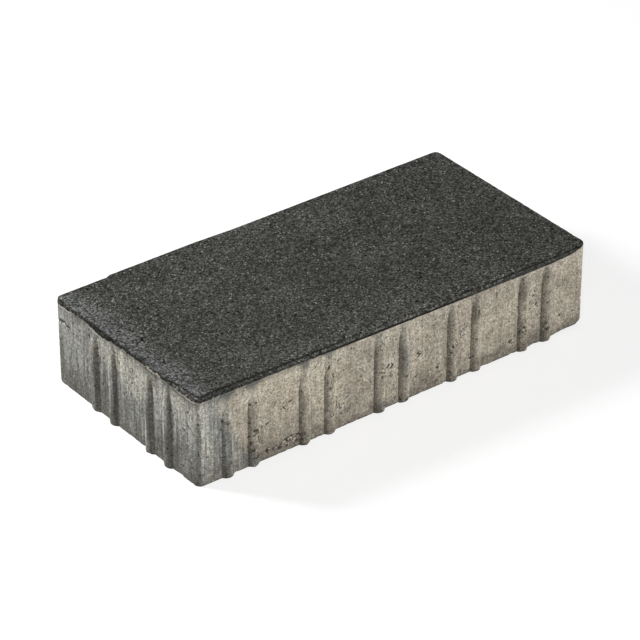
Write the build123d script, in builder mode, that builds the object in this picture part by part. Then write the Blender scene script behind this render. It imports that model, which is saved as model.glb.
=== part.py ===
from build123d import *
import os

# Two-layer concrete paving block with spacer nibs on its sides. Sizes are in millimetres.
# Frame: origin at the centre of the bed face, +X along the length, +Y across, +Z up.

# Laying grid: the block and one joint fill one cell of it
grid_length = 400.0
grid_width = 200.0
joint_gap = 4.0

# Body
block_height = 80.0
facing_thickness = 5.0
corner_radius = 6.0

# Narrow bevel round the wearing face
bevel_width = 2.0
bevel_height = 1.5

# Spacer nibs: upright half-round ribs, in pairs, that fade into the wall below the facing
nib_width = 11.0
nib_clearance = 0.5
nib_spacing = 25.0
pair_pitch = 75.0
nib_corner_margin = 9.0
side_nib_shift = 6.25
end_nib_shift = 8.25
nib_tip_drop = 6.0
nib_fade_length = 17.0
nib_end_sink = 0.35

body_length = grid_length - joint_gap
body_width = grid_width - joint_gap
backing_height = block_height - facing_thickness

# A nib is one side of a round bar sunk into the wall: its chord is the nib's width
nib_projection = joint_gap - nib_clearance
nib_radius = (nib_width**2 / 4 + nib_projection**2) / (2 * nib_projection)
nib_axis_depth = nib_radius - nib_projection
nib_tip_height = backing_height - nib_tip_drop
nib_shoulder_height = nib_tip_height - nib_fade_length


def nib_stations(side_length, shift):
    """Places of the nib axes along a side, from its middle, in as many pairs as fit.

    The row stands off centre by the shift. Opposite sides are turned half round, so the
    nibs of two neighbouring blocks pass each other in the joint.
    """
    pair_width = nib_spacing + nib_width
    flat_length = side_length - 2 * corner_radius
    free_length = flat_length - 2 * (nib_corner_margin + shift) - pair_width
    pair_count = int(free_length // pair_pitch) + 1
    first_pair = -(pair_count - 1) * pair_pitch / 2 - shift
    pairs = [first_pair + i * pair_pitch for i in range(pair_count)]
    return [pair + half for pair in pairs for half in (-nib_spacing / 2, nib_spacing / 2)]


def nib_places():
    """Places of all nibs on the four sides, each turned to face out of its wall."""
    places = []
    for half_turn in (0, 180):
        turned = Location((0, 0, 0), (0, 0, half_turn))
        for station in nib_stations(body_length, side_nib_shift):
            places.append(turned * Location((station, -body_width / 2, 0)))
        for station in nib_stations(body_width, end_nib_shift):
            places.append(turned * Location((-body_length / 2, station, 0), (0, 0, -90)))
    return places


# One nib on a wall that runs along X at y = 0, standing out towards -Y
with BuildPart() as nib:
    with BuildSketch():
        with Locations((0, nib_axis_depth)):
            Circle(nib_radius)
    extrude(amount=nib_shoulder_height)
    with BuildSketch(Plane.XY.offset(nib_shoulder_height)):
        with Locations((0, nib_axis_depth)):
            Circle(nib_radius)
    fade = Vector(0, nib_projection, nib_fade_length)
    extrude(amount=fade.length * (1 + nib_end_sink / nib_projection), dir=fade)

# Grey core concrete, with the nibs cast on
with BuildPart() as backing_block:
    with BuildSketch():
        RectangleRounded(body_length, body_width, corner_radius)
    extrude(amount=backing_height)
    with Locations(nib_places()):
        add(nib.part)

# Dark facing concrete, cast on top of the core in the same mould
with BuildPart() as facing_layer:
    with BuildSketch(Plane.XY.offset(backing_height)):
        RectangleRounded(body_length, body_width, corner_radius)
    extrude(amount=facing_thickness)
    wearing_face = facing_layer.faces().sort_by(Axis.Z)[-1]
    chamfer(wearing_face.edges(), bevel_width, bevel_height, reference=wearing_face)

backing_block.part.label = "backing_block"
facing_layer.part.label = "facing_layer"
os.makedirs("parts", exist_ok=True)
export_step(backing_block.part, "parts/backing_block.step")
export_step(facing_layer.part, "parts/facing_layer.step")
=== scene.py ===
# %% [markdown]
# # A two-layer concrete paving block
# A paving block is pressed in a steel mould in two mixes, wet on wet: a thick grey core, and on top of it
# a thin dark facing of fine sand and pigment. Upright half-round nibs on its sides keep the joints open.
# The solid model already holds those shapes. This lesson gives them their skin: sand grain, pores, drag
# marks from the mould, smears and worn edges, first as real points of a mesh and then as shader nodes.

# %% Load the solid model
import collections
import itertools

import bpy
import numpy as np
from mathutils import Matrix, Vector
from mathutils.bvhtree import BVHTree


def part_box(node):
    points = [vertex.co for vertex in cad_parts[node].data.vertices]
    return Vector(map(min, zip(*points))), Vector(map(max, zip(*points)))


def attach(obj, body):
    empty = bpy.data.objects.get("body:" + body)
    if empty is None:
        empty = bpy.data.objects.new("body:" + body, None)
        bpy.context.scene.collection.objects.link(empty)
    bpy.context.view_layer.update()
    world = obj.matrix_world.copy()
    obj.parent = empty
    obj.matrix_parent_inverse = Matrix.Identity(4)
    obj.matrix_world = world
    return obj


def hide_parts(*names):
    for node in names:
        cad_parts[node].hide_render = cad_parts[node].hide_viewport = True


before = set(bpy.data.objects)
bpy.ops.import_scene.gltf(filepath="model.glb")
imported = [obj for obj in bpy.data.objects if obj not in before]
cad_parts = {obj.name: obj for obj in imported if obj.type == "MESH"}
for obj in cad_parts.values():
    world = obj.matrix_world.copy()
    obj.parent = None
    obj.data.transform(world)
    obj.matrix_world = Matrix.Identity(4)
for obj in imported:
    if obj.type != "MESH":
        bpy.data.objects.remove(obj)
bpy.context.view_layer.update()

MM = 0.001
core_low, core_high = (np.array(corner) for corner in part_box("backing_block"))
face_low, face_high = (np.array(corner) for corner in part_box("facing_layer"))
print("core box", core_low, core_high)
print("facing box", face_low, face_high)

# %% [markdown]
# ## Columns round the block
# Both layers have the same plan, a rectangle with rounded corners, so both skins can hang on upright
# columns. A column is an anchor on an inner rectangle and a direction out of it: going out by the corner
# radius reaches the wall everywhere, on the straight sides and round the corners alike. That is easier to
# keep tidy than cutting up a cube, and every later step can count on rows and columns.

# %% Anchors and outward directions
CORNER_RADIUS = 6 * MM
GRAIN_STEP = 1 * MM
CORNER_STEPS = 8

half = face_high[:2] - CORNER_RADIUS
Columns = collections.namedtuple("Columns", "anchors outward")


def even_places(reach, step):
    """Places along a side from its middle out to a reach on either side."""
    return np.linspace(-reach, reach, round(2 * reach / step) + 1)


def columns_round(front_places, end_places):
    """Columns along the front and the right end; the other two sides are these turned half round."""
    turn = np.radians(90 * np.arange(1, CORNER_STEPS) / CORNER_STEPS)
    fan = np.column_stack([np.sin(turn), -np.cos(turn)])
    front = np.column_stack([front_places, np.full_like(front_places, -half[1])])
    end = np.column_stack([np.full_like(end_places, half[0]), end_places])
    near_corner = np.tile(half * (1, -1), (len(fan), 1))
    far_corner = np.tile(half, (len(fan), 1))
    anchors = np.vstack([front, near_corner, end, far_corner])
    outward = np.vstack([
        np.tile((0.0, -1.0), (len(front), 1)),
        fan,
        np.tile((1.0, 0.0), (len(end), 1)),
        np.column_stack([-fan[:, 1], fan[:, 0]]),
    ])
    return Columns(np.vstack([anchors, -anchors]), np.vstack([outward, -outward]))


def ring(columns, reach, height):
    """Points of all columns at a distance out of their anchors and at a height."""
    flat = columns.anchors + columns.outward * np.reshape(reach, (-1, 1))
    return np.column_stack([flat, np.broadcast_to(height, len(flat))])


grid_x = even_places(half[0], GRAIN_STEP)
grid_y = even_places(half[1], GRAIN_STEP)
face_columns = columns_round(grid_x, grid_y)
print(len(face_columns.anchors), "columns round the facing")

# %% [markdown]
# ## The core's wall
# The nibs are already in the solid. Instead of drawing them again, every point of a sleeve round the
# block looks straight in until it meets the solid, the way a Shrinkwrap modifier in Project mode works.
# The hit gives the true wall, nibs and faded tips included. A first, fine scan finds where nibs and wall
# meet, and three close columns are put there, so that this corner stays crisp.

# %% Look in from outside
LOOK_FROM = 20 * MM
EDGE_KEEP = 0.05 * MM
solid = BVHTree.FromObject(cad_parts["backing_block"], bpy.context.evaluated_depsgraph_get())


def wall_reach(columns, height):
    """How far the solid's wall stands out of each anchor, at one height or at one for each column."""
    seen_at = np.clip(height, core_low[2] + EDGE_KEEP, core_high[2] - EDGE_KEEP)
    reach = []
    for start, way in zip(ring(columns, LOOK_FROM, seen_at), columns.outward):
        hit = solid.ray_cast(Vector(start), Vector((-way[0], -way[1], 0)))
        reach.append(LOOK_FROM - hit[3])
    return np.array(reach)


# %% Close columns where the nibs meet the wall
SCAN_STEP = 0.1 * MM
SCAN_HEIGHT = 30 * MM
HAIR = 0.02 * MM
CORNER_GAP = 0.3 * MM


def with_nib_corners(places, scanned, reach):
    """Places along a side, with three close columns at every corner between a nib and the wall."""
    on_nib = reach > CORNER_RADIUS + HAIR
    changes = np.flatnonzero(on_nib[1:] != on_nib[:-1])
    corners = (scanned[changes] + scanned[changes + 1]) / 2
    kept = places[np.abs(places[:, None] - corners).min(axis=1) > 2 * CORNER_GAP]
    close = corners[:, None] + np.array([-CORNER_GAP, 0, CORNER_GAP])
    return np.sort(np.concatenate([kept, close.ravel()]))


scan_x = even_places(half[0], SCAN_STEP)
scan_y = even_places(half[1], SCAN_STEP)
scan_reach = wall_reach(columns_round(scan_x, scan_y), SCAN_HEIGHT)
end_start = len(scan_x) + CORNER_STEPS - 1
front_places = with_nib_corners(grid_x, scan_x, scan_reach[:len(scan_x)])
end_places = with_nib_corners(grid_y, scan_y, scan_reach[end_start:end_start + len(scan_y)])
core_columns = columns_round(front_places, end_places)
print(len(core_columns.anchors), "columns round the core")

# %% The true wall, as rows and columns
ROW_STEP = 1.15 * MM
# Some nibs run up higher than the solid's: by this much from the third pair on, and by more on the ends
TIP_RAISE = 5 * MM
TIP_START, TIP_END = 45 * MM, 66 * MM
LOW_PLACE, HIGH_PLACE = -68 * MM, -28 * MM
END_SHARE = 1.35

wall_rows = np.linspace(core_low[2], core_high[2], round(core_high[2] / ROW_STEP) + 1)
on_ends = np.abs(core_columns.outward[:, 0]) > 0.9
along_side = -core_columns.outward[:, 1] * core_columns.anchors[:, 0]
side_share = np.clip((along_side - LOW_PLACE) / (HIGH_PLACE - LOW_PLACE), 0, 1)
tip_share = np.where(on_ends, END_SHARE, side_share)
tip_lift = TIP_RAISE * np.clip((wall_rows - TIP_START) / (TIP_END - TIP_START), 0, 1)
looked_at = wall_rows[:, None] - tip_lift[:, None] * tip_share
reach = np.array([wall_reach(core_columns, heights) for heights in looked_at])
nib_stand = (reach - CORNER_RADIUS) / MM
true_wall = np.array([ring(core_columns, out, height) for out, height in zip(reach, wall_rows)])
row_count, column_count = reach.shape
print("sleeve of", reach.shape, "points, nibs stand out", nib_stand.max().round(2), "mm")

# %% [markdown]
# ## A repeatable roughness
# Concrete is rough at every size: lumps of gravel under the skin, sand, cement dust. Blender's Displace
# modifier could do this with a Clouds texture, but here the roughness also has to steer colour masks, so
# it is written as a small function: random numbers on a lattice, blended smoothly between its corners.
# The numbers come from the lattice place itself, so every run gives the same block.


# %% Smooth noise on a lattice
def lattice_number(cells, seed):
    """One fixed number from -1 to 1 for each cell of a lattice."""
    mixed = cells[..., 0] * 73856093 ^ cells[..., 1] * 19349663 ^ cells[..., 2] * 83492791
    mixed = (mixed ^ (seed * 40503 + 977)) * 1274126177
    mixed = (mixed ^ (mixed >> 15)) * 668265263
    return ((mixed ^ (mixed >> 13)) & 65535) / 32767.5 - 1


def noise(points, size, seed):
    """Smooth values from -1 to 1 over points, changing about once in every size in millimetres."""
    place = points / (np.asarray(size) * MM)
    corner = np.floor(place).astype(np.int64)
    share = place - corner
    share = share * share * (3 - 2 * share)
    total = np.zeros(points.shape[:-1])
    for step in itertools.product((0, 1), repeat=3):
        weight = np.where(step, share, 1 - share).prod(axis=-1)
        total += weight * lattice_number(corner + np.array(step), seed)
    return total


def streaks(points, width, length, seed):
    """Noise drawn out upright, as the mould's wall drags the concrete when it is pulled off."""
    return noise(points, (width, width, length), seed)


def ramp(values, start, end):
    """0 before start, 1 after end, and a smooth rise between them."""
    share = np.clip((values - start) / (end - start), 0, 1)
    return share * share * (3 - 2 * share)


# %% [markdown]
# ## Where things are on the walls
# The stains and pores of this block have their places, so the walls need simple measures: how far along,
# how high, and which side. A soft spot is then one line: 1 in its middle, fading with the distance.

# %% Measures on the walls, in millimetres
from_left = (true_wall[..., 0] - face_low[0]) / MM
from_back = (face_high[1] - true_wall[..., 1]) / MM
up = true_wall[..., 2] / MM
front = ramp(-core_columns.outward[:, 1], 0.5, 0.9)
left_end = ramp(-core_columns.outward[:, 0], 0.5, 0.9)
elsewhere = 1 - np.maximum(front, left_end)


def spot(along, centre, height, half_width, half_height):
    """A soft round spot on an unrolled wall."""
    gap = ((along - centre) / half_width) ** 2 + ((up - height) / half_height) ** 2
    return np.exp(-gap)


# %% Pores: scattered ones, and patches where the mix was too dry
# Patches on the front: distance from the left corner, height, half width, half height, strength
FRONT_PATCHES = [
    (20, 53, 4, 3, 0.4),
    (78, 47, 7, 4, 0.5),
    (86, 42, 6, 3, 0.5),
    (66, 8, 5, 4, 0.7),
    (84, 8, 12, 5, 1.0),
    (98, 9, 7, 6, 1.0),
    (134, 36, 6, 12, 0.5),
    (142, 21, 9, 6, 0.7),
    (58, 30, 5, 16, 0.5),
    (128, 63, 3, 4, 0.6),
    (179, 38, 4, 9, 0.6),
    (191, 40, 6, 8, 0.9),
    (218, 39, 14, 4, 0.4),
    (205, 17, 4, 5, 0.6),
    (257, 38, 4, 18, 0.5),
    (265, 46, 5, 10, 0.8),
    (280, 57, 4, 8, 0.7),
    (293, 30, 4, 3, 0.9),
    (318, 15, 5, 4, 0.7),
    (329, 22, 4, 7, 0.6),
    (341, 45, 5, 12, 0.8),
    (353, 14, 5, 4, 0.9),
    (372, 49, 2, 3, 0.7),
]
porous = 0.3 * elsewhere * ramp(noise(true_wall, 22, 40), 0.1, 0.8)
dry = ramp(noise(true_wall, (11, 11, 16), 46), 0.0, 0.7)
porous += 0.35 * dry * ramp(nib_stand, 0.3, 2.0) * (1 - 0.6 * left_end)
porous += 0.4 * dry * ramp(up, 45, 12) * (1 - left_end)
for centre, height, half_width, half_height, strength in FRONT_PATCHES:
    porous += strength * front * spot(from_left, centre, height, half_width, half_height)
porous = np.clip(porous, 0, 1)
hollow = noise(true_wall, 2.6, 41) + 0.8 * noise(true_wall, 1.4, 42) + 0.95 * porous
pit = ramp(hollow, 1.0, 1.45) * (1 - 0.7 * left_end)
print("pores take", (100 * (pit > 0.5).mean()).round(2), "% of the wall")

# %% Scratches on the front, a crack and two holes on the left end
# Scratches: distance from the left corner and height of one end, then of the other
SCRATCHES = [
    (70, 52, 76, 49), (80, 41, 92, 46), (66, 33, 72, 35),
    (226, 51, 233, 49), (213, 33, 221, 38), (136, 62, 139, 66),
]
CRACK_HEIGHT = 59.5

for start_along, start_up, end_along, end_up in SCRATCHES:
    way = np.array([end_along - start_along, end_up - start_up])
    gap = np.stack([from_left - start_along, up - start_up], axis=-1)
    share = np.clip(gap @ way / (way @ way), 0, 1)
    gap = np.linalg.norm(gap - share[..., None] * way, axis=-1)
    pit += 0.8 * front * ramp(gap + 0.6 * noise(true_wall, 2, 44), 0.7, 0.1)
crack_line = CRACK_HEIGHT + 1.6 * noise(true_wall, (6, 6, 400), 43)
crack_line += 1.2 * noise(true_wall, (2.5, 2.5, 400), 49)
crack_open = ramp(from_back + 3 * noise(true_wall, 4, 50), 23, 18)
pit += left_end * ramp(np.abs(up - crack_line) + 0.5 * noise(true_wall, 2, 51), 1.7, 0.5) * crack_open
pit += left_end * (spot(from_back, 35, 63.5, 0.9, 1.2) + spot(from_back, 49, 66.5, 1.1, 2.4))
pit = np.clip(pit, 0, 1)
print("with scratches and crack", (100 * (pit > 0.5).mean()).round(2), "% of the wall")

# %% The rough wall, with its bottom edge worn
PIT_DEPTH = 0.8
CHIP_DEPTH = 0.9
# The bottom's right corner is rubbed off: by how much, over what length, up to what height
CORNER_WEAR = 4.2
WEAR_LENGTH = 50
WEAR_HEIGHT = 25


def wall_roughness(points):
    """How far mould and mix leave the surface behind the true wall, in millimetres."""
    lumps = noise(points, 9, 1)
    sand = noise(points, 2.6, 2)
    grain = noise(points, 1.2, 3)
    drag = streaks(points, 2.2, 50, 4)
    return 0.3 - 0.06 * lumps - 0.06 * sand - 0.1 * grain - 0.06 * drag


chips = ramp(noise(true_wall, 5, 5), 0.1, 0.9)
worn = (0.4 + CHIP_DEPTH * chips) * ramp(up, 2.0, 0)
behind = wall_roughness(true_wall) + PIT_DEPTH * pit + worn
wall = true_wall - np.pad(core_columns.outward, ((0, 0), (0, 1))) * behind[..., None] * MM
to_right_corner = np.hypot(from_left - face_high[0] / MM * 2, from_back - face_high[1] / MM * 2)
lift = CORNER_WEAR * ramp(to_right_corner[0], WEAR_LENGTH, 0)
wall[..., 2] += lift * MM * np.clip(1 - up / WEAR_HEIGHT, 0, 1)
print("wall lies", behind.min().round(2), "to", behind.max().round(2), "mm behind the solid's")

# %% [markdown]
# ## From rows and columns to a mesh
# A mesh only needs its points and, for each face, the numbers of its corners. Rings of points become
# quads between neighbours. Where a ring shrinks to the inner rectangle, the columns of a corner share one
# point, so those quads become triangles.


# %% Faces between rings
def faces_between(lower, upper):
    """Faces from one ring of point numbers to the ring outside or above it."""
    faces = []
    for a, b, c, d in zip(lower, np.roll(lower, -1), np.roll(upper, -1), upper):
        faces.append(list(dict.fromkeys((int(a), int(b), int(c), int(d)))))
    return faces


def mesh_piece(name, points, smooth_faces, flat_faces, masks):
    """A mesh object from points, smooth faces and flat caps, with one named mask value for each point."""
    mesh = bpy.data.meshes.new(name)
    faces = smooth_faces + flat_faces
    mesh.from_pydata(points.tolist(), [], faces)
    mesh.polygons.foreach_set("use_smooth", [True] * len(smooth_faces) + [False] * len(flat_faces))
    for mask, values in masks.items():
        layer = mesh.attributes.new(mask, "FLOAT", "POINT")
        layer.data.foreach_set("value", np.asarray(values, dtype=np.float32).ravel())
    piece = bpy.data.objects.new(name, mesh)
    bpy.context.collection.objects.link(piece)
    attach(piece, "root")
    print(name, len(points), "points", sum(len(corners) - 2 for corners in faces), "triangles")
    return piece


# %% [markdown]
# ## Masks on the core
# Stains follow the shape and the making: slurry from the facing runs down above each nib, and the wall is
# darker along the bottom. Painted shade darkens the corners beside the nibs and the left end's flanks
# turned from the lamp, painted highlights lighten lit nib edges, and crests are rubbed pale and painted as
# highlights. A film of cement covers the left end and the first part of the front, with cream and dark
# streaks drawn down in it. Masks like these can be painted by hand; here the rows and columns know where
# everything is, so each is a few lines of arithmetic, stored on the points for the shader to read.

# %% The cement film
film_edge = 27 + 34 * (1 - up / 75) ** 2
ragged = 9 * streaks(true_wall, 14, 50, 12) + 5 * streaks(true_wall, 3, 40, 13)
film_front = ramp(from_left + ragged, film_edge + 5, film_edge - 5)
film_front += 0.8 * spot(from_left, 205, 42, 5, 17) + 0.9 * spot(from_left, 180, 3, 6, 6)
film_back = 0.8 * ramp(streaks(true_wall, 45, 80, 14), 0, 0.8)
film = np.clip(front * film_front + left_end + elsewhere * film_back, 0, 1)
print("film covers", (100 * film.mean()).round(), "% of the wall")

# %% The cream wash on it, pale scrapes, and painted highlights
# How strong the cream is on the left end, at distances from its back corner
CREAM_REACH = (
    (0, 45, 60, 88, 95, 120, 126, 160, 175, 196),
    (0.1, 0.15, 0.6, 0.9, 1.2, 1.2, 0.5, 0.4, 0.9, 0.4))
# Painted highlights on the front, mostly on the lit right edge of a nib, and a few pale scrapes: place,
# height, half width, half height
HIGHLIGHTS_AND_SCRAPES = [
    (60, 34, 0.9, 15), (135, 40, 0.9, 9), (127, 38, 1.8, 2), (192, 43, 2.5, 5), (186, 30, 1.0, 12),
    (264, 42, 0.9, 8), (268, 40, 0.8, 6), (285, 40, 0.8, 8), (343, 36, 2.2, 7), (338, 58, 1.5, 9),
]

cream_rise = ramp(up + 9 * noise(true_wall, 16, 15), 34, 64)
cream_reach = np.interp(from_back, *CREAM_REACH)
cream_end = cream_rise * cream_reach * (0.9 + 0.35 * noise(true_wall, (24, 24, 40), 16))
cream_end += 0.6 * ramp(np.abs(up - crack_line + 1.8), 1.2, 0.3) * crack_open
cream_film = film * ramp(streaks(true_wall, 4, 60, 17) + 0.4 * streaks(true_wall, 1.5, 30, 29), 0.15, 0.6)
fringe = 0.65 * ramp(up + 5 * noise(true_wall, 12, 37), 56, 72)
fringe *= ramp(streaks(true_wall, 1.6, 16, 25), -0.3, 0.7)
cream_and_highlight = left_end * cream_end + (1 - left_end) * np.maximum(0.7 * cream_film, fringe)
for centre, height, half_width, half_height in HIGHLIGHTS_AND_SCRAPES:
    cream_and_highlight += 0.9 * front * spot(from_left, centre, height, half_width, half_height)
# Along the columns the wall rises up to a nib's crest; that flank of the left end faces the lamp and gets a
# painted highlight in cream
slope = np.gradient(nib_stand, axis=1)
cream_and_highlight += 0.8 * left_end * ramp(slope, -0.05, 0.15) * ramp(up, 74, 64)
near_corner = ramp(from_left, 7, 3) * ramp(from_back, 190, 194)
cream_and_highlight += 0.6 * near_corner * ramp(streaks(true_wall, 2, 30, 53), -0.7, 0.3)
cream_and_highlight = np.clip(cream_and_highlight, 0, 1)
print("cream covers", (100 * cream_and_highlight.mean()).round(), "% of the wall")

# %% Dirt along the bottom, and a darker bottom edge
# Darker up to about twelve millimetres, and darker still in the lowest three
bottom = 0.55 * ramp(up + 5 * noise(true_wall, 9, 18), 12, 0) + 0.5 * ramp(up, 3, 0.5)
stain = 0.3 + 0.7 * ramp(noise(true_wall, 9, 47) + 0.6 * noise(true_wall, 3.5, 52), -0.6, 0.7)
low_front = 0.85 * stain * ramp(up + 8 * noise(true_wall, 18, 38), 40, 6)
bottom += front * (low_front + 0.8 * spot(from_left, 86, 7, 20, 6))
bottom += 0.5 * front * (spot(from_left, 24, 52, 5, 5) + spot(from_left, 372, 49, 5, 5))
bottom += left_end * 0.7 * (spot(from_back, 68, 18, 6, 18) + spot(from_back, 143, 14, 6, 14))
bottom += left_end * 0.8 * (spot(from_back, 150, 52, 3, 3.5) + spot(from_back, 111, 16, 0.9, 15))
print("the bottom's dirt covers", (100 * np.clip(bottom, 0, 1).mean()).round(), "% of the wall")

# %% Painted shade beside the nibs, dirt and dark patches on them, and dark streaks on the film
# Darker patches on the front's nibs: from the left corner, height, half width, half height, strength
NIB_DARK_PATCHES = [
    (202.5, 40, 3.5, 20, 0.45),
    (253, 59, 3.5, 9, 0.55),
    (278, 58, 4.5, 11, 1.05),
    (327.5, 61, 4, 8, 1.0),
    (328, 24, 3, 9, 0.65),
    (353, 62, 4, 8, 0.8),
    (353, 17, 4, 6, 0.7),
]

# Painted shade, with some dirt, in the corners where a nib rises from the wall
near_rise = np.max([np.roll(nib_stand, step, axis=1) for step in range(-2, 3)], axis=0) - nib_stand
corner_shade_and_dirt = ramp(near_rise, 0.4, 1.5) * ramp(nib_stand, 0.9, 0.1) * (1 - 0.8 * left_end)
dark_drag = ramp(streaks(true_wall, 4, 70, 19) + 0.6 * streaks(true_wall, 1.8, 40, 20), 0.05, 0.65)
dark_drag *= ramp(up + 8 * noise(true_wall, 20, 21), 68, 28)
grime = ramp(nib_stand, 0.3, 1.5) * ramp(noise(true_wall, (6, 6, 14), 30), -0.6, 0.7) * (1 - left_end)
dirt_and_shade = np.maximum(np.maximum(bottom, 0.95 * corner_shade_and_dirt), 0.4 * grime) + film * dark_drag
# The film is darker on the front; the left end is darker towards its back corner and towards the bottom
dirt_and_shade += 0.22 * front * film + 0.14 * left_end * ramp(from_back, 58, 44)
dirt_and_shade += 0.5 * left_end * ramp(up + 8 * noise(true_wall, 25, 45), 48, 6)
patchy = 0.75 + 0.4 * noise(true_wall, 5, 54)
for centre, height, half_width, half_height, strength in NIB_DARK_PATCHES:
    dirt_and_shade += strength * patchy * front * spot(from_left, centre, height, half_width, half_height)
# The flank behind a crest of the left end, turned from the lamp, is darkened: painted shade with some dirt,
# deepest towards its base
flank_shade_and_dirt = ramp(-slope, 0.08, 0.6) * ramp(nib_stand, 3.6, 1.6) * left_end * ramp(up, 77, 70)
dirt_and_shade += 1.2 * flank_shade_and_dirt
print("with the nibs' dirt", (100 * np.clip(dirt_and_shade, 0, 1).mean()).round(), "% of the wall")

# %% Painted shade under the facing's edge, with some dark dust, just below the border
# How dark it is on the left end, at distances from its back corner, and on the front, from its left corner
END_SHADE_AND_DUST = (
    (0, 8, 14, 24, 30, 58, 66, 72, 104, 110, 116, 196),
    (0.35, 0.2, 0.1, 0.4, 0.55, 0.55, 0.2, 0.55, 0.55, 0.35, 0.55, 0.6))
FRONT_SHADE_AND_DUST = ((0, 120, 150, 396), (0.35, 0.35, 0, 0))

ragged_drop = 2 * streaks(true_wall, 2, 20, 48)
dirt_and_shade += front * np.interp(from_left, *FRONT_SHADE_AND_DUST) * ramp(up + ragged_drop, 70, 75)
dirt_and_shade += left_end * np.interp(from_back, *END_SHADE_AND_DUST) * ramp(up + ragged_drop, 65, 77)
dirt_and_shade = np.clip(dirt_and_shade, 0, 1)
print("with dust", (100 * dirt_and_shade.mean()).round(), "% of the wall")

# %% Smears above the nibs, ochre at their tips, and crests rubbed pale and painted as highlights
# How strong the smears are on the front, at distances from the left corner
SMEAR_REACH = ((0, 110, 180, 396), (1, 1, 0.5, 0.35))

nib_row = nib_stand[row_count // 3]
not_below_last = nib_row >= np.roll(nib_row, 1)
above_next = nib_row > np.roll(nib_row, -1)
crests = (nib_row > 0.9 * nib_row.max()) & not_below_last & above_next
feet = ring(core_columns, CORNER_RADIUS, 0.0)
to_crest = np.linalg.norm(feet[:, None] - feet[crests], axis=-1).min(axis=1) / MM
smear_drop = 4 * streaks(true_wall, 5, 400, 11) + 2 * noise(true_wall, 3, 26)
smear_reach = np.interp(from_left, *SMEAR_REACH)
smear = ramp(up + smear_drop - 1.6 * to_crest, 61, 73) * ramp(to_crest, 13, 6)
smear *= (1 - 0.7 * left_end) * smear_reach
tips = ramp(to_crest, 9, 5) * ramp(np.abs(up - 64), 9, 2)
ochre = 0.5 * left_end * tips * ramp(noise(true_wall, 5, 27), -0.3, 0.5)
ochre += 0.2 * ramp(noise(true_wall, (9, 9, 24), 22), 0.5, 0.9) * (1 - film)
ochre += 2.2 * left_end * spot(from_back, 35.8, 60.5, 1.2, 1.6)
ochre = np.clip(ochre, 0, 1)
# Crests rubbed pale, and partly a painted highlight
rubbed_and_highlit = ramp(nib_stand, 1.8, 3.3) * ramp(streaks(true_wall, 1.5, 26, 24), 0.25, 0.75)
core_masks = {
    "pit": pit, "porous": porous, "film": film, "cream_and_highlight": cream_and_highlight, "dirt_and_shade": dirt_and_shade,
    "smear": smear, "ochre": ochre, "rubbed_and_highlit": rubbed_and_highlit,
}
print("masks", {name: round(float(values.mean()), 3) for name, values in core_masks.items()})

# %% [markdown]
# ## The border between the mixes
# The facing was pressed on while the core was wet, so the line between them wanders: along the front it
# sinks slowly and then climbs to the top edge at the right corner, and on the left end it is torn. It could
# be cut into the two meshes, but then the line would have to follow their rows. Here every column stores
# only the line's height, and a node group draws it sharply on both skins, whichever of them it runs over.

# %% Heights of the border, its dark seam and its pale lip
# The border's height in millimetres on the front, at distances from its left corner
FRONT_BORDER = (
    (0, 20, 47, 73, 98, 124, 150, 202, 254, 306, 335, 360, 380, 390, 396),
    (77.4, 77.7, 77.4, 76.7, 76.5, 75.9, 75.3, 74.5, 73.6, 73.0, 72.4, 72.4, 73.2, 76.0, 79.2))
# How dark the seam above the border is on the front, at distances from the left corner
FRONT_SEAM = ((0, 110, 125, 260, 275, 290, 396), (0.55, 0.6, 1, 1, 0.3, 0.5, 0.5))
# The same on the left end, at distances from its back corner, and on the two sides away from the camera
END_BORDER = (
    (0, 15, 32, 42, 60, 66, 80, 92, 115, 128, 135, 142, 160, 196),
    (74.2, 75.2, 77.0, 77.0, 74.6, 74.0, 76.4, 77.2, 77.4, 78.4, 79.0, 78.0, 77.6, 78.0))
OTHER_BORDER = 76.0
OTHER_SEAM = 0.6
# Pale lips under the border on the left end: middle, from the back corner, and half length
LIPS = ((14, 9), (54, 9), (136, 10), (182, 17))
# How dark the facing's edge is on the left end, at distances from the back corner: in its seam, and in the
# painted shade along its crease
END_DARK = (
    (0, 20, 30, 45, 62, 78, 90, 120, 128, 140, 150, 160, 196),
    (0.15, 0.2, 0.3, 0.5, 0.9, 0.9, 0.5, 0.5, 0.15, 0.3, 0.6, 0.9, 0.9))


def side_measures(columns):
    """Each column's foot, its distances from left and back in millimetres, and its shares of two sides."""
    foot = ring(columns, CORNER_RADIUS, 0.0)
    on_front = ramp(-columns.outward[:, 1], 0.5, 0.9)
    on_left = ramp(-columns.outward[:, 0], 0.5, 0.9)
    return foot, (foot[:, 0] - face_low[0]) / MM, (face_high[1] - foot[:, 1]) / MM, on_front, on_left


def border_masks(columns):
    """For each column the height of the border, the strength of its dark seam and of the pale lip below."""
    foot, along, back, on_front, on_left = side_measures(columns)
    ragged = 0.3 * noise(foot, 14, 28) + 0.7 * noise(foot, 2.2, 39) * ramp(back, 165, 145)
    height = OTHER_BORDER + on_left * (np.interp(back, *END_BORDER) + ragged - OTHER_BORDER)
    height += on_front * (np.interp(along, *FRONT_BORDER) - OTHER_BORDER)
    height += 0.12 * noise(foot, 7, 31) + 0.06 * noise(foot, 2.5, 32)
    seam = OTHER_SEAM + on_front * (np.interp(along, *FRONT_SEAM) - OTHER_SEAM)
    seam += on_left * (np.interp(back, *END_DARK) * ramp(back, 165, 150) - OTHER_SEAM)
    lip = on_left * sum(ramp(np.abs(back - middle), length + 2, length - 3) for middle, length in LIPS)
    lip += (1 - on_left) * 0.5 * ramp(noise(foot, 12, 36), -0.2, 0.5)
    return {"border": height, "seam": seam, "lip": lip}


for name, values in border_masks(core_columns).items():
    core_masks[name] = np.tile(values, (row_count, 1))
border_heights = core_masks["border"]
print("border between", border_heights.min().round(1), "and", border_heights.max().round(1), "mm")

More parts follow.
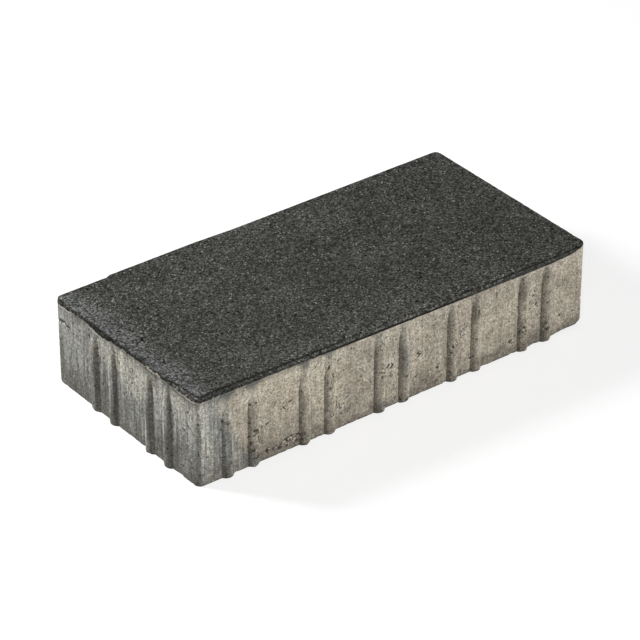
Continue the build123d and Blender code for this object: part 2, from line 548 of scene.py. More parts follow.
# %% The core's skin: wall, rim of the bed face, and plain caps
RIM_RINGS = 3

core_rings = list(np.arange(reach.size).reshape(reach.shape))
core_points = [wall.reshape(-1, 3)]
core_faces = []
for lower, upper in zip(core_rings, core_rings[1:]):
    core_faces += faces_between(lower, upper)
bottom_reach = np.linalg.norm(wall[0, :, :2] - core_columns.anchors, axis=1)
outer = core_rings[0]
for step in range(1, RIM_RINGS + 1):
    inward = step / RIM_RINGS
    core_points.append(ring(core_columns, bottom_reach * (1 - 0.5 * inward), lift * MM * (1 - inward)))
    inner = outer + (reach.size if step == 1 else column_count)
    core_faces += faces_between(inner, outer)
    outer = inner
bed_cap = [[int(i) for i in outer[::-1]]]
top_cap = [[int(i) for i in core_rings[-1]]]
rim_masks = np.zeros(RIM_RINGS * column_count)
full_masks = {name: np.concatenate([values.ravel(), rim_masks]) for name, values in core_masks.items()}
core_skin = mesh_piece("core_skin", np.vstack(core_points), core_faces, bed_cap + top_cap, full_masks)
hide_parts("backing_block")

# %% [markdown]
# ## The facing
# The wearing face is a plain of packed sand, pressed flat by a plate, with a few pits where a grain came
# out. A grid of points one millimetre apart is fine enough to lift each grain. Round it go rings of the
# same columns as the wall's: over the flat, down the narrow bevel, and down the side to the core.

# %% Heights of the wearing face
FACE_PITS = 110
PIT_SEED = 7

inner_x, inner_y = np.meshgrid(grid_x, grid_y)
inner_points = np.stack([inner_x, inner_y, np.full_like(inner_x, face_high[2])], axis=-1)


def face_roughness(points):
    """How far the packed sand lies below the true wearing face, in millimetres."""
    swell = noise(points, 40, 21)
    sand = noise(points, 2.6, 22)
    grain = noise(points, 1.1, 23)
    return 0.4 - 0.1 * swell - 0.08 * sand - 0.2 * grain


face_pit = np.zeros(inner_x.shape)
dice = np.random.default_rng(PIT_SEED)
for number in range(FACE_PITS):
    centre = dice.uniform((grid_x[0], grid_y[0]), (grid_x[-1], grid_y[-1]))
    size = dice.uniform(0.8, 1.9, 2) * MM
    gap = ((inner_x - centre[0]) / size[0]) ** 2 + ((inner_y - centre[1]) / size[1]) ** 2
    face_pit = np.maximum(face_pit, np.clip(1.3 - gap, 0, 1))
inner_points[..., 2] -= (face_roughness(inner_points) + 0.9 * face_pit) * MM
lowest = inner_points[..., 2].min() / MM
print(inner_x.size, "points on the wearing face, lowest", lowest.round(2), "mm")

# %% Rings from the wearing face down to the core
BEVEL_WIDTH = 2 * MM
BEVEL_HEIGHT = 1.5 * MM

flat_edge = CORNER_RADIUS - BEVEL_WIDTH
side_top = face_high[2] - BEVEL_HEIGHT
profile = []
for share in (0.25, 0.5, 0.78, 1):
    profile.append((share * flat_edge, face_high[2]))
for share in (0.33, 0.67, 1):
    profile.append((flat_edge + share * BEVEL_WIDTH, face_high[2] - share * BEVEL_HEIGHT))
for share in (0.25, 0.5, 0.75, 1):
    profile.append((CORNER_RADIUS, side_top + share * (face_low[2] - side_top)))
foot, along, back, on_front, on_left = side_measures(face_columns)
on_back = ramp(face_columns.outward[:, 1], 0.5, 0.9)
print(len(profile), "rings round the wearing face")

# %% [markdown]
# ## The pressed edge
# Where the plate met the mould, the facing is pressed shut along a crease, which the shader darkens with
# painted shade. On the front it starts on the flat at the left and runs over the bevel and down the side
# towards the right; on the left end the edge crumbles, and at the back a burr of mortar fills the bevel.
# Sculpting could do this too. Here each ring is pushed in or lifted by a few masks, which also tell the
# shader how far off the crease a point is.

# %% Places of the crease and the burr
# How far over the edge of the flat the crease runs on the front, at distances from the left corner
CREASE = (
    (0, 21, 47, 73, 98, 150, 202, 254, 306, 345, 365, 396),
    (-3.9, -3.7, -2.4, -1.5, -1.2, -0.5, 0.5, 1.4, 2.8, 3.3, 3.8, 3.0))
# How dark the painted shade along the crease is there
CREASE_SHADE = ((0, 120, 150, 255, 280, 300, 396), (1, 0.95, 0.35, 0.35, 0.6, 1.0, 0.95))
# The same on the left end, at distances from the back corner, and on the sides away from the camera
END_CREASE = ((0, 150, 165, 196), (2.2, 2.2, -1.8, -3.8))
OTHER_CREASE = 0.6
OTHER_CREASE_SHADE = 0.6
BURR_SPAN = (50, 54, 130, 185)

burr = on_back * ramp(along, *BURR_SPAN[:2]) * ramp(along, BURR_SPAN[3], BURR_SPAN[2])
crease_place = OTHER_CREASE + on_front * (np.interp(along, *CREASE) - OTHER_CREASE)
crease_place += on_left * (np.interp(back, *END_CREASE) - OTHER_CREASE)
crease_shade = OTHER_CREASE_SHADE + on_front * (np.interp(along, *CREASE_SHADE) - OTHER_CREASE_SHADE)
crease_shade += on_left * (np.interp(back, *END_DARK) * (1 + 0.4 * noise(foot, 4, 35)) - OTHER_CREASE_SHADE)
crease_narrow = 1 - 0.4 * on_left * ramp(back, 160, 140) - 0.3 * on_front * ramp(along, 140, 120)

# %% The rings themselves, with crumbled edge, crease and burr
rim = []
crease = []
scraped = []
dusty = []
travelled = -flat_edge / MM
last = (0.0, face_high[2])
for out, height in profile:
    travelled += np.hypot(out - last[0], height - last[1]) / MM
    last = (out, height)
    place = ring(face_columns, out, height)
    on_top = float(height > side_top)
    on_side = float(out >= CORNER_RADIUS)
    crumble = ramp(noise(place, 3, 33), 0.1, 1) * (0.3 + 1.0 * on_left) * (out > flat_edge)
    set_back = on_side * wall_roughness(place) + crumble * (height > face_low[2])
    crease.append((travelled - crease_place) * crease_narrow)
    dip = 0.35 * np.exp(-(crease[-1] / 0.8) ** 2) * on_front
    sunk = on_top * (face_roughness(place) + crumble + dip)
    burr_rise = burr * 0.85 * (face_high[2] - height) / MM * (height >= side_top)
    rim.append(ring(face_columns, out - set_back * MM, height + (burr_rise - sunk * (1 - burr)) * MM))
    rubbed_off = on_left * (0.15 + 0.8 * ramp(back, 145, 168)) * (out > flat_edge)
    below_crease = on_front * (crease[-1] > 0) * (0.08 + 0.17 * ramp(np.abs(along - 190), 90, 75))
    scraped.append(rubbed_off + below_crease + 0.8 * burr * on_top * (out > flat_edge))
    dusty.append(on_left * (out <= flat_edge))
print("the last ring lies", round(travelled, 1), "mm over the edge of the flat")

# %% The facing's skin
hub = np.arange(inner_x.size).reshape(inner_x.shape)
fan_count = CORNER_STEPS - 1
hub_ring = np.concatenate([
    hub[0], np.full(fan_count, hub[0, -1]),
    hub[:, -1], np.full(fan_count, hub[-1, -1]),
    hub[-1, ::-1], np.full(fan_count, hub[-1, 0]),
    hub[::-1, 0], np.full(fan_count, hub[0, 0]),
])
quads = np.stack([hub[:-1, :-1], hub[:-1, 1:], hub[1:, 1:], hub[1:, :-1]], axis=-1)
face_faces = quads.reshape(-1, 4).tolist()
outer = hub_ring
count = hub.size
for beyond_points in rim:
    beyond = np.arange(count, count + len(beyond_points))
    face_faces += faces_between(beyond, outer)
    outer = beyond
    count += len(beyond_points)
face_cap = [[int(i) for i in outer[::-1]]]
face_points = np.vstack([inner_points.reshape(-1, 3), *rim])
no_rim = np.zeros(count - hub.size)
no_hub = np.zeros(hub.size)
inset_front = (inner_y - face_low[1] - BEVEL_WIDTH) / MM
inset_left = (inner_x - face_low[0] - BEVEL_WIDTH) / MM
hub_along = (inner_x - face_low[0]) / MM
hub_crease = np.maximum(
    (-inset_front - np.interp(hub_along, *CREASE)) * (1 - 0.3 * ramp(hub_along, 140, 120)),
    -inset_left - np.interp((face_high[1] - inner_y) / MM, *END_CREASE))
face_masks = {
    "pit": np.concatenate([face_pit.ravel(), no_rim]),
    "crease": np.concatenate([hub_crease.ravel(), *crease]),
    "scraped": np.concatenate([no_hub, *scraped]),
    "dusty": np.concatenate([ramp(inset_left, 30, 2).ravel(), *dusty]),
}
face_to_crest = np.linalg.norm(foot[:, None] - feet[crests], axis=-1).min(axis=1) / MM
column_masks = border_masks(face_columns) | {
    "crease_shade": crease_shade,
    "film": np.maximum(on_left, on_front * ramp(along, 45, 20)),
    # The painted shade and dust below the border, carried on to the facing's side
    "dirt_and_shade": on_front * np.interp(along, *FRONT_SHADE_AND_DUST) + on_left * np.interp(back, *END_SHADE_AND_DUST),
    "smear": on_front * ramp(face_to_crest, 10, 5) * np.interp(along, *SMEAR_REACH),
    "cream_and_highlight": on_left * np.interp(back, *CREAM_REACH) + 0.3 * on_front,
}
for name, values in column_masks.items():
    at_hub = float(values[0]) if name == "crease_shade" else 0.0
    face_masks[name] = np.concatenate([no_hub + at_hub, np.tile(values, len(rim))])
facing_skin = mesh_piece("facing_skin", face_points, face_faces, face_cap, face_masks)
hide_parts("facing_layer")

# %% [markdown]
# ## Small helpers for shader nodes
# A material is a graph, and writing it as Python is wordy. A few helpers keep it readable: one adds a node
# and fills or links its inputs, others stand for one Math, Mix or Map Range node, and two start and place
# a node group with named sockets.


# %% Node helpers
def add(tree, kind, inputs=None, **settings):
    """Adds a node, sets its options, and fills or links its inputs by name or number."""
    made = tree.nodes.new(kind)
    for option, value in settings.items():
        setattr(made, option, value)
    for socket, value in (inputs or {}).items():
        if isinstance(value, bpy.types.NodeSocket):
            tree.links.new(value, made.inputs[socket])
        else:
            made.inputs[socket].default_value = value
    return made


def calc(tree, operation, *values):
    """The result of one Math node."""
    return add(tree, "ShaderNodeMath", dict(enumerate(values)), operation=operation).outputs[0]


def blend(tree, share, first, second, way="MIX"):
    """Two colours mixed by a share."""
    mix = add(tree, "ShaderNodeMix", {0: share, 6: first, 7: second}, data_type="RGBA", blend_type=way)
    return mix.outputs[2]


def spread(tree, value, low, high, to_low=0.0, to_high=1.0):
    """A value moved from one range to another, and kept inside it."""
    inputs = {0: value, 1: low, 2: high, 3: to_low, 4: to_high}
    return add(tree, "ShaderNodeMapRange", inputs, interpolation_type="SMOOTHSTEP").outputs[0]


def shade(tree, colour, *tones):
    """A colour made lighter or darker by several tones at once."""
    tone = tones[0]
    for other in tones[1:]:
        tone = calc(tree, "MULTIPLY", tone, other)
    grey = add(tree, "ShaderNodeCombineColor", {0: tone, 1: tone, 2: tone}).outputs[0]
    return blend(tree, 1.0, colour, grey, "MULTIPLY")


def mask(tree, name):
    """A mask that was stored on the points of the mesh."""
    return add(tree, "ShaderNodeAttribute", attribute_name=name).outputs["Fac"]


def new_group(name, inputs, outputs):
    """An empty node group with named sockets, and its two ends."""
    tree = bpy.data.node_groups.new(name, "ShaderNodeTree")
    for socket, (kind, default) in inputs.items():
        made = tree.interface.new_socket(socket, in_out="INPUT", socket_type=kind)
        if default is not None:
            made.default_value = default
    for socket, kind in outputs.items():
        tree.interface.new_socket(socket, in_out="OUTPUT", socket_type=kind)
    return tree, tree.nodes.new("NodeGroupInput").outputs, tree.nodes.new("NodeGroupOutput").inputs


def use(tree, group, inputs):
    """Places a node group in a material and returns its outputs."""
    return add(tree, "ShaderNodeGroup", inputs, node_tree=group).outputs


# %% [markdown]
# ## Shared effects
# Both mixes are sand in cement, so they share effects as node groups: sand grains, each with a brightness
# of its own; pores, which are missing grains; clouds, where the mix dried unevenly; and the border between
# the mixes. A Voronoi texture suits grains and pores, because every cell has one random number and a
# middle; clouds are a Noise texture, drawn out upright for drag marks.

# %% Sand grains
FLOAT, VECTOR, COLOUR = "NodeSocketFloat", "NodeSocketVector", "NodeSocketColor"

sand_grains, given, result = new_group(
    "sand grains", {"Place": (VECTOR, None), "Size": (FLOAT, 0.001)}, {"Tone": FLOAT, "Height": FLOAT})
per_metre = calc(sand_grains, "DIVIDE", 1.0, given["Size"])
cells = add(sand_grains, "ShaderNodeTexVoronoi", {"Vector": given["Place"], "Scale": per_metre})
number = add(sand_grains, "ShaderNodeSeparateColor", {0: cells.outputs["Color"]}).outputs[0]
sand_grains.links.new(number, result["Tone"])
sand_grains.links.new(calc(sand_grains, "SUBTRACT", 1.0, cells.outputs["Distance"]), result["Height"])

# %% Pores
# How far the noise pulls a pore out of round, in metres
WOBBLE = (0.0016, 0.0016, 0.0016)

pores, given, result = new_group(
    "pores", {"Place": (VECTOR, None), "Size": (FLOAT, 0.004), "Share": (FLOAT, 0.3)}, {"Mask": FLOAT})
per_metre = calc(pores, "DIVIDE", 1.0, given["Size"])
wobble = add(pores, "ShaderNodeTexNoise", {"Vector": given["Place"], "Scale": 900.0, "Detail": 1.0})
moved = add(
    pores, "ShaderNodeVectorMath", {0: wobble.outputs["Color"], 1: WOBBLE, 2: given["Place"]},
    operation="MULTIPLY_ADD").outputs[0]
cells = add(pores, "ShaderNodeTexVoronoi", {"Vector": moved, "Scale": per_metre})
number = add(pores, "ShaderNodeSeparateColor", {0: cells.outputs["Color"]})
radius = calc(pores, "MULTIPLY", number.outputs[1], 0.5)
inside = calc(pores, "SUBTRACT", radius, cells.outputs["Distance"])
hole = spread(pores, inside, -0.02, 0.06)
kept = calc(pores, "LESS_THAN", number.outputs[0], given["Share"])
pores.links.new(calc(pores, "MULTIPLY", hole, kept), result["Mask"])

# %% Clouds and streaks
clouds, given, result = new_group(
    "clouds", {"Place": (VECTOR, None), "Size": (FLOAT, 0.03), "Stretch": (FLOAT, 1.0)}, {"Value": FLOAT})
flatten = calc(clouds, "DIVIDE", 1.0, given["Stretch"])
squeeze = add(clouds, "ShaderNodeCombineXYZ", {0: 1.0, 1: 1.0, 2: flatten})
drawn = add(
    clouds, "ShaderNodeVectorMath", {0: given["Place"], 1: squeeze.outputs[0]}, operation="MULTIPLY")
per_metre = calc(clouds, "DIVIDE", 1.0, given["Size"])
cloud_inputs = {"Vector": drawn.outputs[0], "Scale": per_metre, "Detail": 3.0, "Roughness": 0.6}
cloud = add(clouds, "ShaderNodeTexNoise", cloud_inputs)
clouds.links.new(spread(clouds, cloud.outputs[0], 0.25, 0.75), result["Value"])

# %% Border between the mixes: the facing above it, a dark seam, and a pale lip below
border, given, result = new_group(
    "border", {"Place": (VECTOR, None), "Height": (FLOAT, 75.0)},
    {"Facing": FLOAT, "Seam": FLOAT, "Lip": FLOAT})
fray = use(border, clouds, {"Place": given["Place"], "Size": 0.0018, "Stretch": 1.0})["Value"]
level = add(border, "ShaderNodeSeparateXYZ", {0: given["Place"]}).outputs[2]
above = calc(border, "SUBTRACT", calc(border, "DIVIDE", level, MM), given["Height"])
above = calc(border, "MULTIPLY_ADD", calc(border, "SUBTRACT", fray, 0.5), 0.45, above)
facing_side = spread(border, above, -0.25, 0.25)
border.links.new(facing_side, result["Facing"])
border.links.new(calc(border, "MULTIPLY", facing_side, spread(border, above, 2.6, 1.4)), result["Seam"])
below = calc(border, "SUBTRACT", 1.0, facing_side)
border.links.new(calc(border, "MULTIPLY", below, spread(border, above, -1.5, -0.8)), result["Lip"])
print("groups:", [group.name for group in bpy.data.node_groups])

# %% [markdown]
# ## Core concrete
# The core is a lean mix of sharp sand, warm grey-beige where it is dry and cooler where a film of cement
# was dragged over it. Its colour is built up like a wash: two base tones mixed by the film, cream with
# painted highlights and ochre over them, then clouds, drag marks and single grains, then what is darker
# than all that: dirt with painted shade, smears and pores. At its top the dark facing laps over it, on the
# front by up to two and a half millimetres. The wash is a group, because the facing's skin shows the same
# core below the border.

# %% Colours of the core
WARM_CORE = (0.368, 0.331, 0.266, 1)
BROWN_CORE = (0.235, 0.195, 0.145, 1)
COOL_CORE = (0.255, 0.262, 0.245, 1)
# Cream of the wash, also the colour of painted highlights
CREAM_AND_HIGHLIGHT = (0.500, 0.480, 0.415, 1)
OCHRE = (0.300, 0.200, 0.110, 1)
# Dirt, also used as the colour of painted shade
DIRT_AND_SHADE = (0.090, 0.080, 0.066, 1)
SMEAR = (0.085, 0.092, 0.090, 1)
PORE_DARK = (0.030, 0.027, 0.023, 1)
LIP_PALE = (0.440, 0.395, 0.335, 1)
FACING_LAP = (0.064, 0.064, 0.060, 1)
EDGE_BLACK = (0.011, 0.011, 0.010, 1)
# How far dirt and painted shade, smears, ochre, rubbed and highlit crests and pores cover what is under
# them
DIRT_AND_SHADE_COVER = 0.85
SMEAR_COVER = 0.75
OCHRE_COVER = 0.7
RUBBED_AND_HIGHLIGHT_COVER = 0.7
PORE_COVER = 0.75

# %% Wash of the core: two base tones and cream, then clouds, drag marks and grains
# How dark and how light each layer of the wash makes the colour
BIG_TONES = (0.86, 1.14)
SMALL_TONES = (0.9, 1.1)
FINE_TONES = (0.78, 1.22)
GRAIN_TONES = (0.74, 1.26)

core_wash, given, result = new_group(
    "core wash", {"Place": (VECTOR, None), "Film": (FLOAT, 0.0), "Cream and highlight": (FLOAT, 0.0)},
    {"Colour": COLOUR, "Height": FLOAT})
place = given["Place"]
big = use(core_wash, clouds, {"Place": place, "Size": 0.030, "Stretch": 1.4})["Value"]
small = use(core_wash, clouds, {"Place": place, "Size": 0.0045, "Stretch": 1.0})["Value"]
blotch = use(core_wash, clouds, {"Place": place, "Size": 0.011, "Stretch": 1.3})["Value"]
fine = use(core_wash, clouds, {"Place": place, "Size": 0.0016, "Stretch": 1.0})["Value"]
drag = use(core_wash, clouds, {"Place": place, "Size": 0.0028, "Stretch": 16.0})["Value"]
line = use(core_wash, clouds, {"Place": place, "Size": 0.0015, "Stretch": 30.0})["Value"]
grain = use(core_wash, sand_grains, {"Place": place, "Size": 0.0013})
colour = blend(core_wash, given["Film"], WARM_CORE, COOL_CORE)
# Cream and painted highlights, frayed by fine clouds
ragged_cream_and_highlight = calc(core_wash, "MULTIPLY", given["Cream and highlight"], spread(core_wash, fine, 0.2, 0.7, 0.5, 1.0))
colour = blend(core_wash, ragged_cream_and_highlight, colour, CREAM_AND_HIGHLIGHT)
brown = calc(core_wash, "SUBTRACT", 1.0, given["Film"])
brown = calc(core_wash, "MULTIPLY", brown, spread(core_wash, blotch, 0.5, 0.95, 0.0, 0.3))
colour = blend(core_wash, brown, colour, BROWN_CORE)
drag_depth = calc(core_wash, "MULTIPLY_ADD", given["Film"], 0.36, 0.22)
drag_tone = calc(core_wash, "MULTIPLY_ADD", calc(core_wash, "SUBTRACT", drag, 0.5), drag_depth, 1.0)
line_depth = calc(core_wash, "MULTIPLY_ADD", given["Film"], -0.33, -0.15)
line_tone = calc(core_wash, "MULTIPLY_ADD", spread(core_wash, line, 0.45, 0.05), line_depth, 1.0)
colour = shade(
    core_wash, colour, drag_tone, line_tone,
    spread(core_wash, big, 0.0, 1.0, *BIG_TONES),
    spread(core_wash, small, 0.0, 1.0, *SMALL_TONES),
    spread(core_wash, fine, 0.0, 1.0, *FINE_TONES),
    spread(core_wash, grain["Tone"], 0.0, 1.0, *GRAIN_TONES))
core_wash.links.new(colour, result["Colour"])
bumps = calc(core_wash, "MULTIPLY_ADD", grain["Height"], 0.5, calc(core_wash, "MULTIPLY", fine, 0.5))
core_wash.links.new(calc(core_wash, "MULTIPLY_ADD", drag, 0.4, bumps), result["Height"])


# %% Start the core's material
def place_of(tree):
    """Positions on the block in metres, the same in every material."""
    return add(tree, "ShaderNodeTexCoord").outputs["Object"]


def new_material(name):
    """An empty node material with its Principled shader."""
    material = bpy.data.materials.new(name)
    material.use_nodes = True
    return material, material.node_tree, material.node_tree.nodes["Principled BSDF"]


core_concrete, tree, shader = new_material("core concrete")
place = place_of(tree)
film_share = mask(tree, "film")
washed = use(tree, core_wash, {"Place": place, "Film": film_share, "Cream and highlight": mask(tree, "cream_and_highlight")})
speck = use(tree, sand_grains, {"Place": place, "Size": 0.0019})
pore = use(tree, pores, {"Place": place, "Size": 0.0025, "Share": 0.18})["Mask"]
rough = use(tree, clouds, {"Place": place, "Size": 0.0023, "Stretch": 1.0})["Value"]

# %% On the wash: ochre, pale grains, and crests rubbed pale and painted as highlights
colour = blend(tree, calc(tree, "MULTIPLY", mask(tree, "ochre"), OCHRE_COVER), washed["Colour"], OCHRE)
colour = blend(tree, spread(tree, speck["Tone"], 0.945, 0.975, 0.0, 0.7), colour, CREAM_AND_HIGHLIGHT)
colour = blend(tree, calc(tree, "MULTIPLY", mask(tree, "rubbed_and_highlit"), RUBBED_AND_HIGHLIGHT_COVER), colour, CREAM_AND_HIGHLIGHT)

# %% Dark over it: dirt and painted shade, smears, pores, and the lap of the facing
# In a dry patch this much more of the roughness breaks open, into pale crumbs and dark gaps
POROUS_SHARE = 0.25

# Dirt and painted shade, broken up by the roughness
soiled_and_shaded = calc(tree, "MULTIPLY", mask(tree, "dirt_and_shade"), spread(tree, rough, 0.2, 0.8, 1.0, 0.55))
colour = blend(tree, calc(tree, "MULTIPLY", soiled_and_shaded, DIRT_AND_SHADE_COVER), colour, DIRT_AND_SHADE)
colour = blend(tree, calc(tree, "MULTIPLY", mask(tree, "smear"), SMEAR_COVER), colour, SMEAR)
loose = calc(tree, "MULTIPLY_ADD", mask(tree, "porous"), POROUS_SHARE, calc(tree, "SUBTRACT", 1.0, rough))
colour = blend(tree, spread(tree, loose, 0.95, 1.1), colour, CREAM_AND_HIGHLIGHT)
crumbs = calc(tree, "MULTIPLY_ADD", mask(tree, "porous"), POROUS_SHARE, rough)
crumbs = calc(tree, "MULTIPLY", spread(tree, crumbs, 0.88, 1.05), 0.9)
frayed = calc(tree, "MULTIPLY_ADD", calc(tree, "SUBTRACT", rough, 0.5), 0.5, mask(tree, "pit"))
deep = calc(tree, "MULTIPLY", spread(tree, frayed, 0.25, 0.7), 0.85)
scattered = calc(tree, "MAXIMUM", crumbs, calc(tree, "MULTIPLY", pore, PORE_COVER))
deep = calc(tree, "MAXIMUM", deep, scattered)
colour = blend(tree, deep, colour, PORE_DARK)
edge = use(tree, border, {"Place": place, "Height": mask(tree, "border")})
colour = blend(tree, calc(tree, "MULTIPLY", edge["Lip"], mask(tree, "lip")), colour, LIP_PALE)
lap = shade(tree, FACING_LAP, spread(tree, speck["Tone"], 0.0, 1.0, 0.5, 1.5))
lap = blend(tree, calc(tree, "MULTIPLY", edge["Seam"], mask(tree, "seam")), lap, EDGE_BLACK)
colour = blend(tree, edge["Facing"], colour, lap)
tree.links.new(colour, shader.inputs["Base Color"])

# %% Feel of the core: matt, a little smoother under the film
BUMP_STRENGTH = 0.8
BUMP_DEPTH = 0.0006

tree.links.new(spread(tree, film_share, 0.0, 1.0, 0.95, 0.75), shader.inputs["Roughness"])
shader.inputs["Specular IOR Level"].default_value = 0.12
bumps = calc(tree, "SUBTRACT", washed["Height"], calc(tree, "MAXIMUM", pore, crumbs))
bump = add(tree, "ShaderNodeBump", {"Height": bumps, "Strength": BUMP_STRENGTH, "Distance": BUMP_DEPTH})
tree.links.new(bump.outputs[0], shader.inputs["Normal"])
core_skin.data.materials.append(core_concrete)

# %% [markdown]
# ## Facing concrete
# The facing is the same sand in black-pigmented cement. Each grain takes the pigment differently, so the
# face is a salt-and-pepper of greys with a few bare quartz grains and a few black holes, and wide faint
# clouds where the pigment lies thinner. Dust makes it paler along the left edge and towards the front at
# the left. Its pressed edge is closed, and painted shade makes its crease nearly black; where the mould
# scraped it, mostly on the left end, it is brown-grey.

# %% Colours of the facing
FACING_GREY = (0.061, 0.0616, 0.0555, 1)
FACING_DUST = (0.0605, 0.0622, 0.0605, 1)
QUARTZ = (0.34, 0.34, 0.32, 1)
HOLE_BLACK = (0.005, 0.005, 0.004, 1)
SCRAPED = (0.135, 0.128, 0.112, 1)
CLOUD_TONES = (0.86, 1.16)
BLOT_TONES = (0.92, 1.08)

facing_concrete, tree, shader = new_material("facing concrete")
place = place_of(tree)
grain = use(tree, sand_grains, {"Place": place, "Size": 0.0012})
speck = use(tree, sand_grains, {"Place": place, "Size": 0.0011})
cloud = use(tree, clouds, {"Place": place, "Size": 0.06, "Stretch": 1.0})["Value"]
blot = use(tree, clouds, {"Place": place, "Size": 0.006, "Stretch": 1.0})["Value"]
hole = use(tree, pores, {"Place": place, "Size": 0.0026, "Share": 0.38})["Mask"]

# %% Grains, bare quartz and holes
along_x, along_y, _ = add(tree, "ShaderNodeSeparateXYZ", {0: place}).outputs
dust = calc(tree, "MULTIPLY_ADD", mask(tree, "dusty"), 0.88, spread(tree, along_x, 0.05, -0.2, 1.0, 0.94))
to_front = spread(tree, along_y, -0.02, -0.1, 0.0, 0.18)
to_left = spread(tree, along_x, 0.1, -0.05)
dust = calc(tree, "MULTIPLY", dust, calc(tree, "MULTIPLY_ADD", to_front, to_left, 1.0))
scrape = calc(tree, "MULTIPLY", mask(tree, "scraped"), spread(tree, blot, 0.25, 0.7, 0.3, 1.0))
colour = blend(tree, mask(tree, "dusty"), FACING_GREY, FACING_DUST)
colour = blend(tree, scrape, colour, SCRAPED)
colour = shade(
    tree, colour, dust,
    spread(tree, cloud, 0.0, 1.0, *CLOUD_TONES),
    spread(tree, blot, 0.0, 1.0, *BLOT_TONES),
    calc(tree, "MULTIPLY_ADD", calc(tree, "POWER", grain["Tone"], 2.0), 2.0, 0.3))
colour = blend(tree, spread(tree, speck["Tone"], 0.972, 0.99, 0.0, 0.9), colour, QUARTZ)
colour = blend(tree, calc(tree, "MULTIPLY", hole, 0.85), colour, HOLE_BLACK)
colour = blend(tree, spread(tree, mask(tree, "pit"), 0.2, 0.8), colour, HOLE_BLACK)

# %% The edge: painted shade in the crease, strip below it, seam, and the core's colour under the border
over = calc(tree, "MULTIPLY_ADD", calc(tree, "SUBTRACT", blot, 0.5), 0.6, mask(tree, "crease"))
line = spread(tree, calc(tree, "ABSOLUTE", over), 1.4, 0.6)
line = calc(tree, "MULTIPLY", line, spread(tree, grain["Tone"], 0.5, 1.0, 1.0, 0.75))
# Near-black painted shade along the crease
colour = blend(tree, calc(tree, "MULTIPLY", line, mask(tree, "crease_shade")), colour, EDGE_BLACK)
edge = use(tree, border, {"Place": place, "Height": mask(tree, "border")})
colour = blend(tree, calc(tree, "MULTIPLY", edge["Seam"], mask(tree, "seam")), colour, EDGE_BLACK)
wash_inputs = {"Place": place, "Film": mask(tree, "film"), "Cream and highlight": mask(tree, "cream_and_highlight")}
under = use(tree, core_wash, wash_inputs)["Colour"]
under = blend(tree, mask(tree, "dirt_and_shade"), under, DIRT_AND_SHADE)
under = blend(tree, calc(tree, "MULTIPLY", mask(tree, "smear"), SMEAR_COVER), under, SMEAR)
under = blend(tree, calc(tree, "MULTIPLY", edge["Lip"], mask(tree, "lip")), under, LIP_PALE)
colour = blend(tree, edge["Facing"], under, colour)
tree.links.new(colour, shader.inputs["Base Color"])

# %% Feel of the facing: matt sand
tree.links.new(spread(tree, blot, 0.0, 1.0, 0.8, 0.95), shader.inputs["Roughness"])
shader.inputs["Specular IOR Level"].default_value = 0.06
bumps = calc(tree, "MULTIPLY_ADD", speck["Height"], 0.6, grain["Height"])
bumps = calc(tree, "SUBTRACT", bumps, hole)
bump = add(tree, "ShaderNodeBump", {"Height": bumps, "Strength": BUMP_STRENGTH, "Distance": BUMP_DEPTH})
tree.links.new(bump.outputs[0], shader.inputs["Normal"])
facing_skin.data.materials.append(facing_concrete)
print("materials:", core_concrete.name, "and", facing_concrete.name)

# %% [markdown]
# ## Floor, light and camera
# The block is shown on a pale floor. A lamp stands behind the left end, and a light so far to the right
# that its rays are parallel, like a low sun's. Each slants across one side of the block, so the nibs show
# one bright and one dark flank; a weaker, wide lamp in front keeps the dark flanks from going black. The
# floor throws back little light, or it would fill those flanks too; the camera sees it brighter than it
# is, still with the block's shadow on it.

# %% Floor
FLOOR_SIZE = 8.0
FLOOR_GREY = 0.45
FLOOR_LIFT = 0.66

bpy.ops.mesh.primitive_plane_add(size=FLOOR_SIZE)
floor = bpy.context.object
floor.name = "floor"
pale_floor, tree, shader = new_material("pale floor")
shader.inputs["Base Color"].default_value = (FLOOR_GREY, FLOOR_GREY, FLOOR_GREY, 1)
shader.inputs["Roughness"].default_value = 0.9
shader.inputs["Specular IOR Level"].default_value = 0.0
shader.inputs["Emission Color"].default_value = (1, 1, 1, 1)


def seen_rays(tree):
    """1 for rays of the camera, straight or by a reflection, and 0 for rays of light."""
    rays = add(tree, "ShaderNodeLightPath").outputs
    mirrored = calc(tree, "MAXIMUM", rays["Is Glossy Ray"], rays["Is Transmission Ray"])
    return calc(tree, "MAXIMUM", rays["Is Camera Ray"], mirrored)


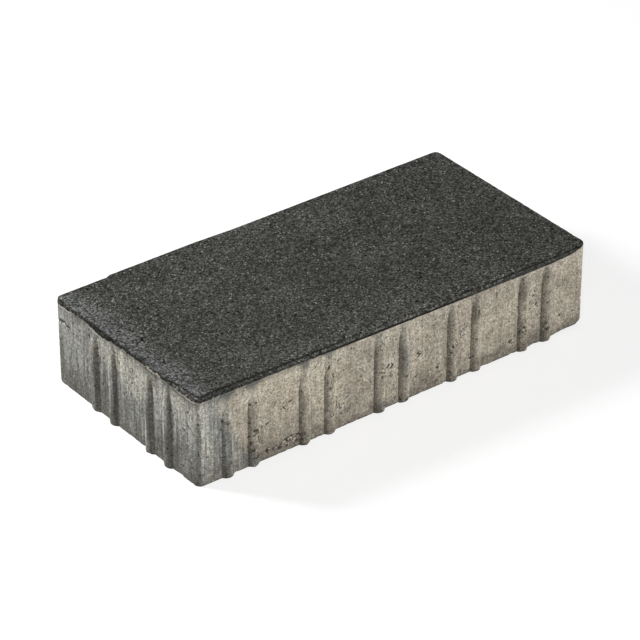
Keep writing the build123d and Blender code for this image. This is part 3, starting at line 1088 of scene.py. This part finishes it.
lifted = calc(tree, "MULTIPLY", seen_rays(tree), FLOOR_LIFT)
tree.links.new(lifted, shader.inputs["Emission Strength"])
floor.data.materials.append(pale_floor)

# %% World: white to the eye, a soft grey as light
WORLD_LIGHT = 0.22

world = bpy.data.worlds.new("studio")
bpy.context.scene.world = world
world.use_nodes = True
tree = world.node_tree
strength = calc(tree, "MULTIPLY_ADD", seen_rays(tree), 1 - WORLD_LIGHT, WORLD_LIGHT)
tree.links.new(strength, tree.nodes["Background"].inputs["Strength"])
tree.nodes["Background"].inputs["Color"].default_value = (1, 1, 1, 1)


# %% Lamps
BLOCK_MIDDLE = Vector((0, 0, 0.04))


def put_lamp(name, kind, place, power):
    """A lamp that looks at the middle of the block."""
    lamp = bpy.data.lights.new(name, kind)
    lamp.energy = power
    stand = bpy.data.objects.new(name, lamp)
    stand.location = place
    stand.rotation_euler = (BLOCK_MIDDLE - Vector(place)).to_track_quat("-Z", "Y").to_euler()
    bpy.context.collection.objects.link(stand)
    print(name, "at", [round(part, 2) for part in place])
    return lamp


put_lamp("left lamp", "AREA", (-0.83, 0.90, 0.84), 20).size = 0.35
put_lamp("front lamp", "AREA", (-1.5, -1.9, 1.1), 15).size = 1.0
put_lamp("right light", "SUN", (2.6, -2.5, 0.78), 3.0).angle = 0.28

# %% Camera
# A long lens, 2.7 metres away; lens and sensor are in millimetres
LENS = 186.06
SENSOR_WIDTH = 36
CAMERA_PLACE = (-1.4006, -1.8245, 1.4770)
CAMERA_AIM = Vector((-0.00524, -0.00153, 0.0330))

camera_data = bpy.data.cameras.new("camera")
camera_data.lens = LENS
camera_data.sensor_width = SENSOR_WIDTH
camera = bpy.data.objects.new("camera", camera_data)
camera.location = CAMERA_PLACE
camera.rotation_euler = (CAMERA_AIM - camera.location).to_track_quat("-Z", "Y").to_euler()
bpy.context.collection.objects.link(camera)
bpy.context.scene.camera = camera
bpy.context.scene.view_settings.view_transform = "Standard"
print("camera", round((CAMERA_AIM - camera.location).length, 3), "m from the block")
